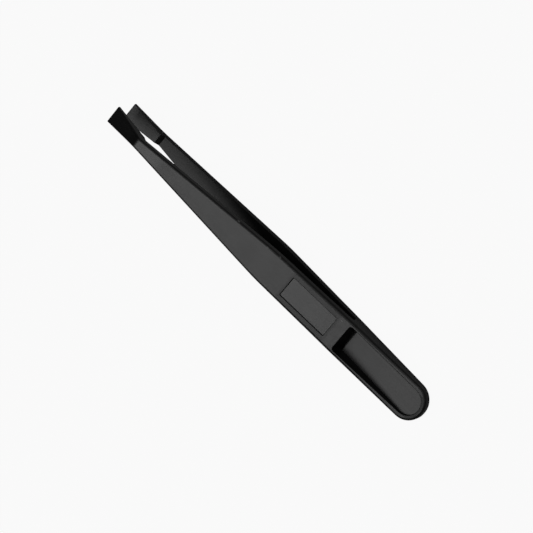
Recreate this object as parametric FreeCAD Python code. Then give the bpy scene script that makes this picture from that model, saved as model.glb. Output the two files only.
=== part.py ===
import FreeCAD, Part
import math
import os

# Plastic tweezers, moulded in one piece: two flat springy arms with spatula tips,
# joined at a round-ended grip. Millimetres, +Z up.
#
# The piece is drawn as it is moulded, symmetric about its mid-plane, with X from the
# tips to the rear, Y across the arms and Z the way the tips open. It is then laid down
# on the flat outer face of one arm. The origin ends up on that resting face, under the
# middle of the length.

# Whole piece
LENGTH = 118.0  # tips to rear end, along the mid-plane
HALF_ANGLE = 3.72  # each arm's lean from the mid-plane, degrees
REAR_THICKNESS = 2.75  # across both outer faces at the rear end
ARM_THICKNESS = 2.25  # each arm, and the pocket's floor that carries one arm on

# Outline seen square to the arms
TIP_WIDTH = 5.45
TIP_CORNER = 0.2
NECK_WIDTH = 3.2
NECK_BLEND = 8.0
SHOULDER_AT = 59.5  # from the tips
SHOULDER_WIDTH = 10.05
SHOULDER_BLEND = 80.0
GRIP_AT = 88.0  # from the tips
GRIP_WIDTH = 10.95
GRIP_BLEND = 150.0
REAR_FLAT = 0.35  # straight stretch across the rear end

# Spatula tips
TAPER_LENGTH = 11.3  # from the tip back to the crease in the outer face
TIP_THICKNESS = 0.9
TIP_GAP = 8.9  # between the two tips at rest
CREASE_BLEND = 2.0
PAD_LENGTH = 11.2  # raised gripping pad on the inner face
PAD_RISE = 1.2  # at the pad's rear edge
STEP_RUN = 1.15
STEP_BLEND = 0.3

# Gap between the arms
GAP_END_FROM_REAR = 30.8
GAP_END_CORNER = 0.6

# Rounding of the long edges. On the outer faces it swells and fades along the piece
TIP_EDGE = 0.15
ARM_EDGE = 0.7
GRIP_FRONT_EDGE = 0.95
GRIP_REAR_EDGE = 0.7
INNER_EDGE = 0.25

# Pocket in the grip, open upwards, and the blind slot at its front
POCKET_FRONT_FROM_REAR = 28.95  # foot of the front wall
POCKET_REAR_WALL = 1.3  # at the floor
POCKET_SIDE_WALL = 1.6  # at the floor
POCKET_DRAFT = 6.0
POCKET_CORNER = 0.8
POCKET_REAR_FLAT = 0.08  # straight stretch in the middle of the round rear wall
POCKET_MOUTH_EDGE = 0.22
SLOT_LENGTH = 0.8
SLOT_DEPTH = 1.6  # below the pocket's floor

# Shallow plaque in the outer face ahead of the pocket
PLAQUE_FRONT = 68.1  # from the tips
PLAQUE_LENGTH = 16.0
PLAQUE_WIDTH = 6.3
PLAQUE_DEPTH = 0.35
PLAQUE_CORNER = 0.3

# Tools for cutting reach past the faces that they cut by this much
REACH = 5.0

# Two places nearer than this are one, and a line shorter than the second isn't drawn
CLOSE = 0.02
SHORTEST_LINE = 0.000001

REAR_CORNER = (GRIP_WIDTH - REAR_FLAT) / 2
POCKET_FLOOR_WIDTH = GRIP_WIDTH - 2 * POCKET_SIDE_WALL
LEAN = math.tan(math.radians(HALF_ANGLE))
UPRIGHT = math.cos(math.radians(HALF_ANGLE))
ORIGIN = FreeCAD.Vector(0, 0, 0)
ACROSS = FreeCAD.Vector(0, 1, 0)


def outer_height(station):
    """Height of the outer face over the mid-plane, behind the crease."""
    return REAR_THICKNESS / 2 + (LENGTH - station) * LEAN


def inner_height(station):
    """Height of the arm's inner face over the mid-plane, behind the pad."""
    return outer_height(station) - ARM_THICKNESS / UPRIGHT


def rounded_outline(corners, height=0.0):
    """Closed wire through corners (x, y, radius), each one rounded by its own arc."""
    points = [FreeCAD.Vector(x, y, height) for x, y, radius in corners]
    count = len(points)
    ends = []
    for i in range(count):
        corner = points[i]
        back = (points[i - 1] - corner).normalize()
        ahead = (points[(i + 1) % count] - corner).normalize()
        radius = corners[i][2]
        half_turn = back.getAngle(ahead) / 2
        if radius == 0:
            ends.append((corner, None, corner))
            continue
        reach = radius / math.tan(half_turn)
        middle = (back + ahead).normalize() * (radius / math.sin(half_turn) - radius)
        ends.append((corner + back * reach, corner + middle, corner + ahead * reach))
    edges = []
    for i in range(count):
        start, middle, end = ends[i]
        if middle is not None:
            edges.append(Part.Arc(start, middle, end).toShape())
        following = ends[(i + 1) % count][0]
        if (following - end).Length > SHORTEST_LINE:
            edges.append(Part.LineSegment(end, following).toShape())
    return Part.Wire(edges)


def arm_outline():
    """Outline of both arms and the grip, seen square to the mid-plane."""
    side = [
        (0.0, TIP_WIDTH / 2, TIP_CORNER),
        (TAPER_LENGTH, NECK_WIDTH / 2, NECK_BLEND),
        (SHOULDER_AT, SHOULDER_WIDTH / 2, SHOULDER_BLEND),
        (GRIP_AT, GRIP_WIDTH / 2, GRIP_BLEND),
        (LENGTH, GRIP_WIDTH / 2, REAR_CORNER),
    ]
    other_side = [(x, -y, radius) for x, y, radius in reversed(side)]
    return rounded_outline(side + other_side)


def side_profile():
    """Side view of the V: two arms, their stepped pads and the solid grip."""
    step_end = PAD_LENGTH + STEP_RUN
    gap_end = LENGTH - GAP_END_FROM_REAR
    tip_inner = TIP_GAP / 2
    pad_rear = inner_height(PAD_LENGTH) - PAD_RISE / UPRIGHT
    upper = [
        (LENGTH, outer_height(LENGTH), 0.0),
        (TAPER_LENGTH, outer_height(TAPER_LENGTH), CREASE_BLEND),
        (0.0, tip_inner + TIP_THICKNESS, 0.0),
        (0.0, tip_inner, 0.0),
        (PAD_LENGTH, pad_rear, STEP_BLEND),
        (step_end, inner_height(step_end), STEP_BLEND),
        (gap_end, inner_height(gap_end), GAP_END_CORNER),
    ]
    lower = [(x, -z, radius) for x, z, radius in reversed(upper)]
    wire = rounded_outline(upper + lower)
    wire.rotate(ORIGIN, FreeCAD.Vector(1, 0, 0), 90)
    return wire


def moulded_blank():
    """The side view run across the full width, trimmed to the arms' outline."""
    half_width = GRIP_WIDTH / 2 + REACH
    profile = Part.Face(side_profile())
    profile.translate(FreeCAD.Vector(0, half_width, 0))
    slab = profile.extrude(FreeCAD.Vector(0, -2 * half_width, 0))
    half_height = outer_height(0.0) + REACH
    outline = Part.Face(arm_outline())
    outline.translate(FreeCAD.Vector(0, 0, -half_height))
    column = outline.extrude(FreeCAD.Vector(0, 0, 2 * half_height))
    return slab.common(column).removeSplitter()


def middle_of(edge):
    return edge.valueAt((edge.FirstParameter + edge.LastParameter) / 2)


def is_long_edge(edge):
    """True for edges that run round an arm's outline, false for those across it."""
    first = edge.valueAt(edge.FirstParameter)
    last = edge.valueAt(edge.LastParameter)
    upright = abs(first.x - last.x) < CLOSE and abs(first.y - last.y) < CLOSE
    crosses = first.y < -CLOSE < CLOSE < last.y or last.y < -CLOSE < CLOSE < first.y
    at_an_end = middle_of(edge).x < CLOSE or middle_of(edge).x > LENGTH - CLOSE
    return not upright and (at_an_end or not crosses)


def is_on_outer_face(edge):
    """True where the edge lies on an arm's outer face or on its tapered tip."""
    middle = middle_of(edge)
    tip_outer = TIP_GAP / 2 + TIP_THICKNESS
    rise = (outer_height(TAPER_LENGTH) - tip_outer) / TAPER_LENGTH
    face = min(outer_height(middle.x), tip_outer + rise * middle.x)
    return abs(abs(middle.z) - face) < CLOSE


def outer_edge_radius(station):
    """Radius of the rounding along the outer faces, blended between its stations."""
    radii = [
        (0.0, TIP_EDGE),
        (TAPER_LENGTH, ARM_EDGE),
        (SHOULDER_AT, ARM_EDGE),
        (GRIP_AT, GRIP_FRONT_EDGE),
        (LENGTH - REAR_CORNER, GRIP_REAR_EDGE),
        (LENGTH, GRIP_REAR_EDGE),
    ]
    for (start, start_radius), (end, end_radius) in zip(radii, radii[1:]):
        if station <= end:
            share = (station - start) / (end - start)
            return start_radius + (end_radius - start_radius) * share
    return GRIP_REAR_EDGE


def round_outer_edges(blank):
    """Round both arms' outer edges with a radius that changes along the piece."""
    rounding = []
    for number, edge in enumerate(blank.Edges, start=1):
        if is_long_edge(edge) and is_on_outer_face(edge):
            first = outer_edge_radius(edge.valueAt(edge.FirstParameter).x)
            last = outer_edge_radius(edge.valueAt(edge.LastParameter).x)
            rounding.append((number, first, last))
    document = FreeCAD.newDocument("rounding")
    base = document.addObject("Part::Feature", "blank")
    base.Shape = blank
    fillet = document.addObject("Part::Fillet", "rounded")
    fillet.Base = base
    fillet.Edges = rounding
    document.recompute()
    return fillet.Shape.copy()


def round_inner_edges(blank, rounded):
    """Round the edges round the gap, found on the blank before its first rounding."""
    places = []
    for edge in blank.Edges:
        if is_long_edge(edge) and not is_on_outer_face(edge):
            places.append(middle_of(edge))
    chosen = []
    for edge in rounded.Edges:
        middle = middle_of(edge)
        if any((middle - place).Length < CLOSE for place in places):
            chosen.append(edge)
    return rounded.makeFillet(INNER_EDGE, chosen)


def plaque_cutter():
    """Rounded block that sinks the plaque into the upper outer face."""
    half_width = PLAQUE_WIDTH / 2
    corners = [
        (0.0, -half_width, PLAQUE_CORNER),
        (PLAQUE_LENGTH, -half_width, PLAQUE_CORNER),
        (PLAQUE_LENGTH, half_width, PLAQUE_CORNER),
        (0.0, half_width, PLAQUE_CORNER),
    ]
    block = Part.Face(rounded_outline(corners)).extrude(FreeCAD.Vector(0, 0, REACH))
    block.translate(FreeCAD.Vector(0, 0, -PLAQUE_DEPTH))
    block.rotate(ORIGIN, ACROSS, HALF_ANGLE)
    block.translate(FreeCAD.Vector(PLAQUE_FRONT, 0, outer_height(PLAQUE_FRONT)))
    return block


def lay_down(shape):
    """Turn the piece so that the lower arm's outer face lies flat at Z = 0."""
    shape.translate(FreeCAD.Vector(-LENGTH, 0, REAR_THICKNESS / 2))
    shape.rotate(ORIGIN, ACROSS, HALF_ANGLE)
    return shape


def pocket_outline(grow, height):
    """Pocket's outline in the laid frame, rear end at X = 0, grown all round."""
    half_width = POCKET_FLOOR_WIDTH / 2 + grow
    rear_corner = half_width - POCKET_REAR_FLAT / 2
    front = -POCKET_FRONT_FROM_REAR - grow
    rear = -POCKET_REAR_WALL + grow
    corners = [
        (front, -half_width, POCKET_CORNER),
        (rear, -half_width, rear_corner),
        (rear, half_width, rear_corner),
        (front, half_width, POCKET_CORNER),
    ]
    return rounded_outline(corners, height)


def pocket_cutter():
    """Drafted pocket that leaves one arm's thickness as its floor."""
    height = outer_height(LENGTH - POCKET_FRONT_FROM_REAR) * 2 + REACH
    grow = height * math.tan(math.radians(POCKET_DRAFT))
    floor = pocket_outline(0.0, ARM_THICKNESS)
    mouth = pocket_outline(grow, ARM_THICKNESS + height)
    return Part.makeLoft([floor, mouth], True, True)


def slot_cutter():
    """Blind slot between the pocket's front wall and the front edge of its floor."""
    half_width = POCKET_FLOOR_WIDTH / 2
    front = -POCKET_FRONT_FROM_REAR
    corners = [
        (front, -half_width, POCKET_CORNER),
        (front + SLOT_LENGTH, -half_width, 0.0),
        (front + SLOT_LENGTH, half_width, 0.0),
        (front, half_width, POCKET_CORNER),
    ]
    face = Part.Face(rounded_outline(corners, ARM_THICKNESS - SLOT_DEPTH))
    return face.extrude(FreeCAD.Vector(0, 0, SLOT_DEPTH))


def round_pocket_mouth(body):
    """Ease the pocket's edge in the upper outer face of the laid piece."""
    rear_top = FreeCAD.Vector(0, 0, REAR_THICKNESS)
    rear_top = FreeCAD.Rotation(ACROSS, HALF_ANGLE).multVec(rear_top)
    slope = math.tan(math.radians(2 * HALF_ANGLE))
    rim_inside = GRIP_WIDTH / 2 - GRIP_FRONT_EDGE - CLOSE
    front = -POCKET_FRONT_FROM_REAR - GRIP_WIDTH / 2
    rear = rear_top.x - (GRIP_REAR_EDGE + POCKET_REAR_WALL) / 2
    mouth = []
    for edge in body.Edges:
        middle = middle_of(edge)
        on_face = abs(middle.z - rear_top.z - (rear_top.x - middle.x) * slope) < CLOSE
        if on_face and front < middle.x < rear and abs(middle.y) < rim_inside:
            mouth.append(edge)
    return body.makeFillet(POCKET_MOUTH_EDGE, mouth)


def tweezers_body():
    blank = moulded_blank()
    body = round_inner_edges(blank, round_outer_edges(blank))
    body = lay_down(body.cut(plaque_cutter()))
    body = round_pocket_mouth(body.cut(pocket_cutter()))
    body = body.cut(slot_cutter())
    body.translate(FreeCAD.Vector(LENGTH / 2, 0, 0))
    return body


os.makedirs("parts", exist_ok=True)
body = tweezers_body()
print("solids", len(body.Solids), "valid", body.isValid(), "volume mm3", round(body.Volume, 1))
body.exportStep("parts/tweezers_body.step")
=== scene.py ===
# %% [markdown]
# # Plastic tweezers
# One moulding in black plastic: two springy arms that lean apart from a round-ended grip.
# The solid comes from CAD and stays as it is. This file gives it its finish, the small marks
# that moulding and use leave, a floor, soft light and the camera.
# Every length is in metres, and +Z is up.

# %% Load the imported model
import math

import bpy
from mathutils import Matrix, Vector
from mathutils.bvhtree import BVHTree


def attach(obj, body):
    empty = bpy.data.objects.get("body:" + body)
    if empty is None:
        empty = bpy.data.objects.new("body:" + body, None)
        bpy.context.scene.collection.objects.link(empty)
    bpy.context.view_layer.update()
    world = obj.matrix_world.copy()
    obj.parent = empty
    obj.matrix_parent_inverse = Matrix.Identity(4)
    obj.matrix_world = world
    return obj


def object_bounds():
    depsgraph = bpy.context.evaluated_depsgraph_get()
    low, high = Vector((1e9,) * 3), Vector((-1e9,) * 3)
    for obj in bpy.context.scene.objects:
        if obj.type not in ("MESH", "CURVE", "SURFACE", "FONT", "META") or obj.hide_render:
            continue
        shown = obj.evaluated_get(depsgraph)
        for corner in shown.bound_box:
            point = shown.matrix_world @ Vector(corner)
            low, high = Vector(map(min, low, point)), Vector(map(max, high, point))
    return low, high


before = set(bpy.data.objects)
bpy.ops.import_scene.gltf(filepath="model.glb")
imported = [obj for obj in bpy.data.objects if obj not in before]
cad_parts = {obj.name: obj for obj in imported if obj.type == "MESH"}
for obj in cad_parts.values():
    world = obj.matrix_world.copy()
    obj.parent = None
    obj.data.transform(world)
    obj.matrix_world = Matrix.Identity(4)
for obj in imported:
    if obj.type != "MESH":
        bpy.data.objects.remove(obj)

MM = 0.001
cad_low, cad_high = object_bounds()
print("cad box in mm", [round(v / MM, 2) for v in (*cad_low, *cad_high)])

# %% [markdown]
# ## Camera
# The tweezers were photographed from above and to one side, from about a metre away, and the
# camera was rolled so that they lie from upper left to lower right. A track constraint could aim
# a camera, but it can't hold a roll, so the camera's three axes are worked out from three angles.
# Far away with a long lens is right here, because the two arms hardly shrink towards the back.

# %% Directions and rotations


def direction(azimuth, elevation):
    """Unit vector at these angles in degrees, from +X towards +Y and above the horizon."""
    a = math.radians(azimuth)
    e = math.radians(elevation)
    return Vector((math.cos(a) * math.cos(e), math.sin(a) * math.cos(e), math.sin(e)))


def axes_facing(back, roll):
    """Rotation whose local +Z points along back, with its up turned by roll towards its right."""
    upright = (Vector((0, 0, 1)) - back * back.z).normalized()
    sideways = upright.cross(back)
    r = math.radians(roll)
    up = upright * math.cos(r) + sideways * math.sin(r)
    right = sideways * math.cos(r) - upright * math.sin(r)
    return Matrix((right, up, back)).transposed()


def place(name, data, location, rotation=Matrix.Identity(3)):
    """A new object in the scene for this mesh, camera or lamp."""
    made = bpy.data.objects.new(name, data)
    bpy.context.scene.collection.objects.link(made)
    made.matrix_world = Matrix.Translation(location) @ rotation.to_4x4()
    return made


# %% Camera
LOOK_AT = Vector((-0.062, -2.428, 4.0)) * MM
CAMERA_AZIMUTH = 51.896  # degrees from +X towards +Y
CAMERA_ELEVATION = 62.106
CAMERA_ROLL = 98.792  # how far the picture's up is turned towards its right
CAMERA_DISTANCE = 1.03938
CAMERA_LENS = 260.15  # mm, as is the sensor
SENSOR_WIDTH = 36.0
CLIP_NEAR = 0.05
CLIP_FAR = 100.0

camera_data = bpy.data.cameras.new("camera")
camera_data.lens = CAMERA_LENS
camera_data.sensor_width = SENSOR_WIDTH
camera_data.clip_start = CLIP_NEAR
camera_data.clip_end = CLIP_FAR
towards_camera = direction(CAMERA_AZIMUTH, CAMERA_ELEVATION)
camera = place("camera", camera_data, LOOK_AT + towards_camera * CAMERA_DISTANCE,
               axes_facing(towards_camera, CAMERA_ROLL))
bpy.context.scene.camera = camera
bpy.context.scene.view_settings.view_transform = "Standard"
print("camera at", [round(v, 4) for v in camera.location])

# %% [markdown]
# ## Node helpers
# A node tree is quicker to read when each step is one line. These helpers add a node, join it to
# what feeds it, and hand back the socket that the next step needs. They do nothing that can't be
# done by hand in the shader editor.

# %% Node helpers


def feed(tree, socket, value):
    """Link a socket into another one, or write a plain value there."""
    if isinstance(value, bpy.types.NodeSocket):
        tree.links.new(value, socket)
    else:
        socket.default_value = value


def add_node(tree, kind, inputs=None, **settings):
    """A node of this kind with its settings, and with its inputs linked or set."""
    node = tree.nodes.new(kind)
    for name, value in settings.items():
        setattr(node, name, value)
    for name, value in (inputs or {}).items():
        feed(tree, node.inputs[name], value)
    return node


def calculate(tree, operation, *values):
    """Output of a Math node."""
    inputs = dict(enumerate(values))
    return add_node(tree, "ShaderNodeMath", inputs, operation=operation).outputs[0]


def calculate_vector(tree, operation, *values):
    """Vector output of a Vector Math node."""
    inputs = dict(enumerate(values))
    return add_node(tree, "ShaderNodeVectorMath", inputs, operation=operation).outputs[0]


def between(tree, value, low, high, to_low=0.0, to_high=1.0):
    """A value taken smoothly from the range low to high into the range to_low to to_high."""
    inputs = {"Value": value, "From Min": low, "From Max": high,
              "To Min": to_low, "To Max": to_high}
    node = add_node(tree, "ShaderNodeMapRange", inputs, interpolation_type="SMOOTHSTEP")
    return node.outputs[0]


def noise(tree, position, size, detail=2.0, roughness=0.5):
    """Soft noise from 0 to 1 whose spots are about this many units wide."""
    inputs = {"Vector": position, "Scale": 1 / size, "Detail": detail, "Roughness": roughness}
    return add_node(tree, "ShaderNodeTexNoise", inputs).outputs["Fac"]


def new_material(name):
    """A material with nothing in its tree but the output."""
    material = bpy.data.materials.new(name)
    material.use_nodes = True
    material.node_tree.nodes.clear()
    return material, material.node_tree, material.node_tree.nodes.new("ShaderNodeOutputMaterial")


def new_group(name, inputs, outputs):
    """An empty node group with these sockets, and its two end nodes."""
    group = bpy.data.node_groups.new(name, "ShaderNodeTree")
    for label, kind, value in inputs:
        socket = group.interface.new_socket(label, in_out="INPUT", socket_type=kind)
        if value is not None:
            socket.default_value = value
    for label, kind in outputs:
        group.interface.new_socket(label, in_out="OUTPUT", socket_type=kind)
    return group, group.nodes.new("NodeGroupInput"), group.nodes.new("NodeGroupOutput")


def use_group(tree, group, inputs):
    """The group placed in a tree, with its inputs linked or set by name."""
    node = add_node(tree, "ShaderNodeGroup", node_tree=group)
    for name, value in inputs.items():
        feed(tree, node.inputs[name], value)
    return node


# %% [markdown]
# ## Floor
# The photograph has a plain white ground with no shadow to speak of. A bright floor could be had
# with more light, but that would bleach the plastic too. Here the floor stays a pale card that
# the lamps light, and the Light Path node mixes in plain white for the rays that look at it:
# those of the camera, those that pass through glass, and those that a gloss reflects.
# Right beside the tweezers the reflected rays see the card itself with the shadow on it.
# Black sides pick that up strongly, and a glowing floor under them would turn them grey.
# For the same reason a reflection from far away gets only a small share of the white.
# A low wall of the same card stands far round the tweezers, so that a level view ends in white too.

# %% Floor and wall
FLOOR_SIDE = 20.0
CARD_COLOUR = (0.42, 0.42, 0.42, 1.0)
WHITE_SHARE = 0.94
BESIDE = 0.05  # a reflected ray shorter than this sees the card
FAR = 0.5  # from here on it sees its full share of white
GLOSS_SHARE = 0.15  # how large that share is
WALL_DISTANCE = 4.5
WALL_HEIGHT = 0.6
WALL_SIDES = 48
FLOOR_DROP = 0.02 * MM


def card_material():
    """Pale card that shows as white to the camera and in gloss, and still takes a shadow."""
    material, tree, out = new_material("pale_card")
    seen = add_node(tree, "ShaderNodeLightPath").outputs
    far = between(tree, seen["Ray Length"], BESIDE, FAR, 0.0, GLOSS_SHARE)
    far_gloss = calculate(tree, "MULTIPLY", seen["Is Glossy Ray"], far)
    looks = calculate(tree, "MAXIMUM", seen["Is Camera Ray"], seen["Is Transmission Ray"])
    looks = calculate(tree, "MAXIMUM", looks, far_gloss)
    share = calculate(tree, "MULTIPLY", looks, WHITE_SHARE)
    card = add_node(tree, "ShaderNodeBsdfDiffuse", {"Color": CARD_COLOUR})
    white = add_node(tree, "ShaderNodeEmission")
    mixed = add_node(tree, "ShaderNodeMixShader",
                     {0: share, 1: card.outputs[0], 2: white.outputs[0]})
    feed(tree, out.inputs["Surface"], mixed.outputs[0])
    return material


def mesh_piece(name, points, faces, material):
    """An object with its own mesh and one material."""
    mesh = bpy.data.meshes.new(name)
    mesh.from_pydata(points, [], faces)
    mesh.materials.append(material)
    return place(name, mesh, Vector((0, 0, 0)))


card = card_material()
floor_z = cad_low.z - FLOOR_DROP
half = FLOOR_SIDE / 2
corners = [(x, y, floor_z) for x, y in ((-half, -half), (half, -half), (half, half), (-half, half))]
floor = mesh_piece("floor", corners, [(0, 1, 2, 3)], card)

ring = [direction(360 * i / WALL_SIDES, 0) * WALL_DISTANCE for i in range(WALL_SIDES)]
foot = [(p.x, p.y, floor_z) for p in ring]
top = [(p.x, p.y, floor_z + WALL_HEIGHT) for p in ring]
panels = []
for i in range(WALL_SIDES):
    after = (i + 1) % WALL_SIDES
    panels.append((i, after, WALL_SIDES + after, WALL_SIDES + i))
wall = mesh_piece("wall", foot + top, panels, card)
print("floor at", round(floor_z / MM, 3), "mm, wall", len(panels), "panels")

# %% [markdown]
# ## Light
# Black plastic gives back almost no light of its own colour. What the eye reads is gloss: each
# face shows whatever it mirrors. The upward faces in the photograph are an even grey, so they
# mirror a large soft box nearly overhead. The lower arm's inner face lies in the upper arm's
# shade and sees only a second box, which hangs further down. A third and weak box behind the
# camera lifts the rounded edges. The tapered tips mirror none of them and stay almost black.
# A ring of light all round would be easier to set, but it would make every face the same grey,
# and the shape would be lost.
# The world adds only a little, so that nothing goes fully dark.

# %% Light
WORLD_LEVEL = 0.04
BOXES = [  # angles in degrees, lengths in metres, power in watts
    dict(name="overhead_box", azimuth=-109.9, elevation=77.1, roll=-15.9, distance=1.37,
         width=0.54, depth=0.58, power=3.34),
    dict(name="front_box", azimuth=-115.4, elevation=54.5, roll=-23.0, distance=1.22,
         width=0.55, depth=0.34, power=1.05),
    dict(name="fill_box", azimuth=80.0, elevation=60.0, roll=0.0, distance=1.2,
         width=1.3, depth=1.1, power=2.0),
]


def soft_box(name, azimuth, elevation, roll, distance, width, depth, power):
    """A rectangular lamp that faces the tweezers."""
    data = bpy.data.lights.new(name, "AREA")
    data.shape = "RECTANGLE"
    data.size = width
    data.size_y = depth
    data.energy = power
    away = direction(azimuth, elevation)
    return place(name, data, away * distance, axes_facing(away, roll))


for box in BOXES:
    soft_box(**box)
world = bpy.data.worlds.new("studio")
bpy.context.scene.world = world
world.use_nodes = True
background = world.node_tree.nodes["Background"]
background.inputs["Color"].default_value = (1, 1, 1, 1)
background.inputs["Strength"].default_value = WORLD_LEVEL
print(len(BOXES), "soft boxes, in watts", [box["power"] for box in BOXES])

# %% [markdown]
# ## Places on the tweezers
# A few finishes belong to one place: the recessed plaque, the tips and their gripping pads, the
# pocket's walls, a handled patch beside the pocket and two specks of dust. An image texture could
# hold them, but it would need unwrapping. The node group below does it with arithmetic instead.
# It measures how far a point lies from the middle of a box in millimetres, and gives 1 inside and
# 0 outside, with a soft border. The box can lean with the arm that it lies on.
# The same group serves every place, each with its own numbers.

# %% Group: mask of one place


def place_mask_group():
    """1 inside a leaning box and 0 outside."""
    inputs = [("Position", "NodeSocketVector", None), ("Middle", "NodeSocketVector", None),
              ("Half Size", "NodeSocketVector", None), ("Lean", "NodeSocketFloat", 0.0),
              ("Border", "NodeSocketFloat", 0.1)]
    group, start, end = new_group("place_mask", inputs, [("Mask", "NodeSocketFloat")])
    given = start.outputs
    level = add_node(group, "ShaderNodeVectorRotate",
                     {"Vector": given["Position"], "Center": given["Middle"],
                      "Axis": (0.0, 1.0, 0.0), "Angle": given["Lean"]},
                     rotation_type="AXIS_ANGLE").outputs[0]
    away = calculate_vector(group, "SUBTRACT", level, given["Middle"])
    far = calculate_vector(group, "ABSOLUTE", away)
    spare = calculate_vector(group, "SUBTRACT", given["Half Size"], far)
    parts = add_node(group, "ShaderNodeSeparateXYZ", {0: spare}).outputs
    least = calculate(group, "MINIMUM", parts[0], parts[1])
    least = calculate(group, "MINIMUM", least, parts[2])
    feed(group, end.inputs["Mask"], between(group, least, 0.0, given["Border"]))
    return group


place_mask = place_mask_group()
print("place_mask has", len(place_mask.nodes), "nodes")

# %% [markdown]
# ## The skin that the mould leaves
# The steel of such a mould is spark-eroded, so the plastic comes out matt, with a fine grain of
# pits. The melt runs from the grip to the tips and leaves faint streaks along the arms, and the
# surface sets unevenly, which shows as soft clouds in the gloss.
# Three noises make this: a small one for the grain's height, one that is stretched along X for
# the streaks, and a wide one for the clouds. They are one group, because the body and the thin
# flash on its edge use the same skin with grains of different size.

# %% Group: moulded skin
GRAIN_SIZE = 0.28  # mm, as are the next three
STREAK_LENGTH = 26.0
STREAK_WIDTH = 0.7
CLOUD_SIZE = 7.0
GRAIN_DETAIL = 3.0
GRAIN_CRISPNESS = 0.6
PIT_SHARE = 0.4
STREAK_DETAIL = 3.0


def moulded_skin_group():
    """The grain's height, and streaks and clouds from 0 to 1."""
    inputs = [("Position", "NodeSocketVector", None),
              ("Grain Size", "NodeSocketFloat", GRAIN_SIZE)]
    outputs = [("Height", "NodeSocketFloat"), ("Streaks", "NodeSocketFloat"),
               ("Clouds", "NodeSocketFloat")]
    group, start, end = new_group("moulded_skin", inputs, outputs)
    position = start.outputs["Position"]
    finer = calculate(group, "DIVIDE", 1.0, start.outputs["Grain Size"])
    grain = add_node(group, "ShaderNodeTexNoise",
                     {"Vector": position, "Scale": finer, "Detail": GRAIN_DETAIL,
                      "Roughness": GRAIN_CRISPNESS})
    pits = add_node(group, "ShaderNodeTexVoronoi", {"Vector": position, "Scale": finer})
    height = calculate(group, "MULTIPLY_ADD", pits.outputs["Distance"], PIT_SHARE,
                       grain.outputs["Fac"])
    stretched = add_node(group, "ShaderNodeMapping",
                         {"Vector": position, "Scale": (STREAK_WIDTH / STREAK_LENGTH, 1.0, 1.0)})
    streaks = noise(group, stretched.outputs[0], STREAK_WIDTH, detail=STREAK_DETAIL)
    clouds = noise(group, position, CLOUD_SIZE)
    feed(group, end.inputs["Height"], height)
    feed(group, end.inputs["Streaks"], streaks)
    feed(group, end.inputs["Clouds"], clouds)
    return group


moulded_skin = moulded_skin_group()
print("moulded_skin has", len(moulded_skin.nodes), "nodes")

# %% [markdown]
# ## Worn edges, with a painted highlight
# Handling polishes the sharp edges first: the pocket's mouth, the plaque's border, the arms' inner
# edges and the tips. The Bevel node finds them with no painting. It returns the normal that
# a small rounding would have, and where that differs from the true normal there is an edge near.
# A noise breaks the line up, because real wear is never even.
# The plastic uses this mask for wear in its roughness and for a greyer colour, which is partly wear
# and partly a painted highlight.

# %% Group: worn edges and painted edge highlight
WEAR_AND_HIGHLIGHT_REACH = 0.22 * MM
BEVEL_SAMPLES = 6
FLAT = 0.995  # how well the two normals match where wear begins, and where it is full
SHARP = 0.9
WEAR_AND_HIGHLIGHT_PATCH = 1.6  # mm
PATCH_DETAIL = 3.0
PATCH_RANGE = (0.3, 0.65)
LEAST_WEAR_AND_HIGHLIGHT = 0.25


def worn_and_highlit_edges_group():
    """1 on sharp edges and 0 elsewhere, broken up by noise."""
    inputs = [("Position", "NodeSocketVector", None)]
    group, start, end = new_group("worn_and_highlit_edges", inputs, [("Mask", "NodeSocketFloat")])
    rounded = add_node(group, "ShaderNodeBevel", {"Radius": WEAR_AND_HIGHLIGHT_REACH}, samples=BEVEL_SAMPLES)
    true = add_node(group, "ShaderNodeNewGeometry").outputs["Normal"]
    match = add_node(group, "ShaderNodeVectorMath", {0: rounded.outputs[0], 1: true},
                     operation="DOT_PRODUCT").outputs["Value"]
    edge = between(group, match, FLAT, SHARP)
    patches = noise(group, start.outputs["Position"], WEAR_AND_HIGHLIGHT_PATCH, detail=PATCH_DETAIL)
    broken = between(group, patches, *PATCH_RANGE, LEAST_WEAR_AND_HIGHLIGHT, 1.0)
    feed(group, end.inputs["Mask"], calculate(group, "MULTIPLY", edge, broken))
    return group


worn_and_highlit_edges = worn_and_highlit_edges_group()
print("worn_and_highlit_edges has", len(worn_and_highlit_edges.nodes), "nodes")

# %% [markdown]
# ## Black plastic
# The plastic is filled with carbon, so its own colour is nearly black and the gloss does the rest.
# Its roughness carries most of the detail: clouds and streaks shift it a little, and worn edges
# are smoother and a touch greyer; that grey is partly wear and partly a painted edge highlight.
# The tips' outer faces were polished in the mould, the gripping pads inside were left coarse,
# and the plaque has a finish of its own.
# A material per face would also do, but the borders would then be hard, and the mesh would need
# new slots. Here all of it is one material, and masks shift its one roughness value in places.

# %% Values of the plastic
BLACK = (0.004, 0.004, 0.0041, 1.0)
# Grey of the edges: partly real wear, partly a painted highlight along the edges.
RUBBED_AND_HIGHLIT = (0.045, 0.045, 0.046, 1.0)
PLAQUE_GREY = (0.014, 0.014, 0.0143, 1.0)
DUST = (0.12, 0.12, 0.117, 1.0)
ROUGHNESS = 0.36
CLOUD_CHANGE = 0.05
STREAK_CHANGE = 0.05
WEAR_CHANGE = -0.12
SMEAR_CHANGE = -0.07
SMEAR_SIZE = 1.3  # mm
SMEAR_RANGE = (0.4, 0.62)
GRAIN_DEPTH = 0.006 * MM
ARM_LEAN = math.radians(-7.44)  # the upper arm against the floor
print("plastic's roughness", ROUGHNESS, "and its grain", round(GRAIN_DEPTH / MM, 4), "mm deep")

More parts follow.
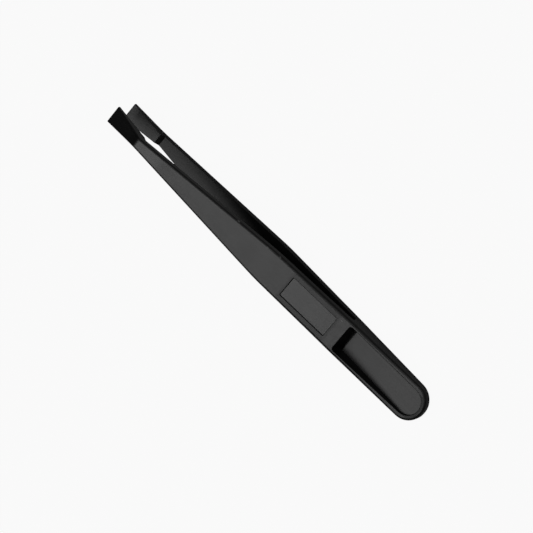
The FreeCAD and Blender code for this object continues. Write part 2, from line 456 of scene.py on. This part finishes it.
# %% Places with a finish of their own, in mm
TIP_BOX = dict(half_size=(6.1, 3.0, 0.3), border=0.15)
PAD_BOX = dict(half_size=(6.1, 3.0, 0.35), border=0.15)
PLAQUE = dict(middle=(17.54, 0.0, 7.83), half_size=(8.05, 3.2, 0.14), lean=ARM_LEAN, border=0.06)
AROUND_PLAQUE = dict(middle=(17.54, 0.0, 8.18), half_size=(9.2, 5.2, 1.2), lean=ARM_LEAN,
                     border=0.8)
BEHIND_CREASE = dict(middle=(-43.6, 0.0, 16.17), half_size=(7.0, 9.0, 3.5), lean=ARM_LEAN,
                     border=3.0)
POCKET_WALLS = dict(middle=(44.0, 0.0, 4.6), half_size=(14.4, 3.95, 2.2), lean=0.0, border=0.1)
UPPER_TIP = dict(middle=(-53.3, 0.0, 15.33), lean=math.radians(11.0), **TIP_BOX)
LOWER_TIP = dict(middle=(-53.3, 0.0, 1.86), lean=math.radians(-18.4), **TIP_BOX)
UPPER_PAD = dict(middle=(-52.8, 0.0, 13.31), lean=math.radians(-1.6), **PAD_BOX)
LOWER_PAD = dict(middle=(-53.3, 0.0, 4.0), lean=math.radians(-5.8), **PAD_BOX)
LOCAL_FINISHES = [  # place, change of roughness
    (PLAQUE, -0.08), (AROUND_PLAQUE, 0.05), (BEHIND_CREASE, -0.05), (POCKET_WALLS, 0.12),
    (UPPER_TIP, -0.12), (LOWER_TIP, -0.12), (UPPER_PAD, 0.06), (LOWER_PAD, 0.06),
]
HANDLED = dict(middle=(27.9, -0.2, 6.82), half_size=(2.9, 4.2, 0.5), lean=ARM_LEAN, border=1.6)
SPECKS = [
    dict(middle=(26.94, 3.71, 6.95), half_size=(0.26, 0.18, 0.3), lean=0.0, border=0.12),
    dict(middle=(26.14, 3.72, 7.06), half_size=(0.15, 0.12, 0.3), lean=0.0, border=0.1),
]
print(len(LOCAL_FINISHES), "local finishes and", len(SPECKS), "specks")

# %% Helpers of the plastic


def millimetres(tree):
    """Place on the object in millimetres."""
    position = add_node(tree, "ShaderNodeTexCoord").outputs["Object"]
    inputs = {0: position, "Scale": 1 / MM}
    return add_node(tree, "ShaderNodeVectorMath", inputs, operation="SCALE").outputs[0]


def mask_of(tree, position, middle, half_size, lean, border):
    """Mask of one place, from its values."""
    inputs = {"Position": position, "Middle": middle, "Half Size": half_size,
              "Lean": lean, "Border": border}
    return use_group(tree, place_mask, inputs).outputs["Mask"]


def blend_colour(tree, share, first, second):
    """Two colours mixed. Sockets 6 and 7 and output 2 are the Mix node's colour ones."""
    inputs = {0: share, 6: first, 7: second}
    return add_node(tree, "ShaderNodeMix", inputs, data_type="RGBA").outputs[2]


def shifted(tree, value, mask, change):
    """A value moved by change where the mask is 1."""
    return calculate(tree, "MULTIPLY_ADD", mask, change, value)


def uneven_roughness(tree, skin, roughness):
    """The roughness with the skin's soft clouds and streaks in it, which average one half."""
    clouds = calculate(tree, "SUBTRACT", skin["Clouds"], 0.5)
    streaks = calculate(tree, "SUBTRACT", skin["Streaks"], 0.5)
    cloudy = shifted(tree, roughness, clouds, CLOUD_CHANGE)
    return shifted(tree, cloudy, streaks, STREAK_CHANGE)


def finish_material(material_parts, skin, colour, roughness):
    """The grain's bump and the shader, joined to the material's output."""
    material, tree, out = material_parts
    bump = add_node(tree, "ShaderNodeBump", {"Height": skin["Height"], "Distance": GRAIN_DEPTH})
    surface = add_node(tree, "ShaderNodeBsdfPrincipled",
                       {"Base Color": colour, "Roughness": roughness, "Normal": bump.outputs[0]})
    feed(tree, out.inputs["Surface"], surface.outputs[0])
    return material


# %% Black plastic


def black_plastic():
    """The body's one material."""
    parts = new_material("black_plastic")
    tree = parts[1]
    position = millimetres(tree)
    skin = use_group(tree, moulded_skin, {"Position": position}).outputs
    wear_and_highlight = use_group(tree, worn_and_highlit_edges, {"Position": position}).outputs["Mask"]
    specks = [mask_of(tree, position, **speck) for speck in SPECKS]
    colour = blend_colour(tree, mask_of(tree, position, **PLAQUE), BLACK, PLAQUE_GREY)
    # Greyer along the edges: partly wear, partly a painted edge highlight.
    colour = blend_colour(tree, wear_and_highlight, colour, RUBBED_AND_HIGHLIT)
    colour = blend_colour(tree, calculate(tree, "MAXIMUM", *specks), colour, DUST)
    smears = between(tree, noise(tree, position, SMEAR_SIZE), *SMEAR_RANGE)
    smears = calculate(tree, "MULTIPLY", mask_of(tree, position, **HANDLED), smears)
    rough = uneven_roughness(tree, skin, ROUGHNESS)
    for finish, change in LOCAL_FINISHES:
        rough = shifted(tree, rough, mask_of(tree, position, **finish), change)
    rough = shifted(tree, rough, wear_and_highlight, WEAR_CHANGE)
    rough = shifted(tree, rough, smears, SMEAR_CHANGE)
    return finish_material(parts, skin, colour, rough)


plastic = black_plastic()
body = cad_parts["tweezers_body"]
for slot in body.material_slots:
    slot.material = plastic
print("black_plastic has", len(plastic.node_tree.nodes), "nodes")

# %% [markdown]
# ## Thin flash
# Where the two halves of a mould meet, a little plastic creeps between them. Trimming leaves
# hair-thin slivers, and the photograph shows three on the upper arm's long edge. They could be
# bumps in the material, but then they would be flat from the side. Each one is a small closed
# mesh instead: a flat oval cross-section is carried along a short bent line and tapers almost to
# nothing at both ends. Each point of that line is moved to the nearest point of the body's surface
# and a little way in, so the sliver never floats. Black plastic turns pale where it is bent and torn,
# so the slivers have a greyer material of their own, with the same skin in a finer grain.

# %% Flash material
WHITENED = (0.17, 0.17, 0.17, 1.0)
FLASH_ROUGHNESS = 0.4
FLASH_GRAIN = 0.12  # mm


def flash_plastic():
    """The slivers' material, paler in places."""
    parts = new_material("flash_plastic")
    tree = parts[1]
    inputs = {"Position": millimetres(tree), "Grain Size": FLASH_GRAIN}
    skin = use_group(tree, moulded_skin, inputs).outputs
    colour = blend_colour(tree, skin["Clouds"], BLACK, WHITENED)
    rough = uneven_roughness(tree, skin, FLASH_ROUGHNESS)
    return finish_material(parts, skin, colour, rough)


flash_finish = flash_plastic()
print("flash_plastic has", len(flash_finish.node_tree.nodes), "nodes")

# %% Flash slivers
SLIVERS = [  # name, place in mm, length, width, thickness, turn across the edge in degrees
    ("flash_front", (-11.70, 3.95, 11.74), 1.00, 0.46, 0.20, 6.0),
    ("flash_middle", (-1.10, 4.36, 10.56), 0.90, 0.26, 0.12, 4.0),
    ("flash_rear", (3.22, 4.66, 9.97), 1.35, 0.50, 0.26, -40.0),
]
STATIONS = 18
ROUND_SIDES = 10
BEND = 0.12  # sideways, as a share of the length
END_SHARE = 0.04  # how much of the width is left at the ends
SEATED = 0.25  # how much of the thickness lies in the skin
UPWARD = 3.0  # how far a sliver lies level rather than along the skin


def oval_ring(heart, across, facing, width, thickness):
    """Points of an oval round heart, in mm across and thick."""
    ring = []
    for i in range(ROUND_SIDES):
        a = 2 * math.pi * i / ROUND_SIDES
        point = across * math.cos(a) * width / 2 + facing * math.sin(a) * thickness / 2
        ring.append(heart + point * MM)
    return ring


def tube_mesh(name, rings):
    """A closed mesh through rings of points, with a flat cap at each end."""
    count = len(rings[0])
    points = [p for ring in rings for p in ring]
    faces = []
    for i in range(len(rings) - 1):
        for j in range(count):
            k = (j + 1) % count
            faces.append((i * count + j, i * count + k, (i + 1) * count + k, (i + 1) * count + j))
    last = (len(rings) - 1) * count
    faces.append(tuple(reversed(range(count))))
    faces.append(tuple(range(last, last + count)))
    mesh = bpy.data.meshes.new(name)
    mesh.from_pydata(points, [], faces)
    mesh.shade_smooth()
    return mesh


def flash_sliver(name, middle, length, width, thickness, turn, skin):
    """A thin curl of plastic along the edge, seated where the body's surface is nearest."""
    spot, normal, _, _ = skin.find_nearest(Vector(middle) * MM)
    facing = (normal + Vector((0, 0, 1)) * UPWARD).normalized()
    edge_line = Vector((math.cos(ARM_LEAN), 0, math.sin(ARM_LEAN)))
    along = (edge_line - facing * facing.dot(edge_line)).normalized()
    along = Matrix.Rotation(math.radians(turn), 3, facing) @ along
    across = facing.cross(along)
    rings = []
    for i in range(STATIONS):
        u = 2 * i / (STATIONS - 1) - 1
        taper = max(math.cos(u * math.pi / 2), END_SHARE)
        bend = across * (1 - u * u) * length * BEND * MM
        ground = skin.find_nearest(spot + along * u * length / 2 * MM + bend)[0]
        heart = ground + facing * thickness * taper * MM * (0.5 - SEATED)
        rings.append(oval_ring(heart, across, facing, width * taper, thickness * taper))
    return place(name, tube_mesh(name, rings), Vector((0, 0, 0)))


body_skin = BVHTree.FromObject(body, bpy.context.evaluated_depsgraph_get())
for name, middle, length, width, thickness, turn in SLIVERS:
    sliver = flash_sliver(name, middle, length, width, thickness, turn, body_skin)
    sliver.data.materials.append(flash_finish)
    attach(sliver, "root")
    print(name, "faces", len(sliver.data.polygons))
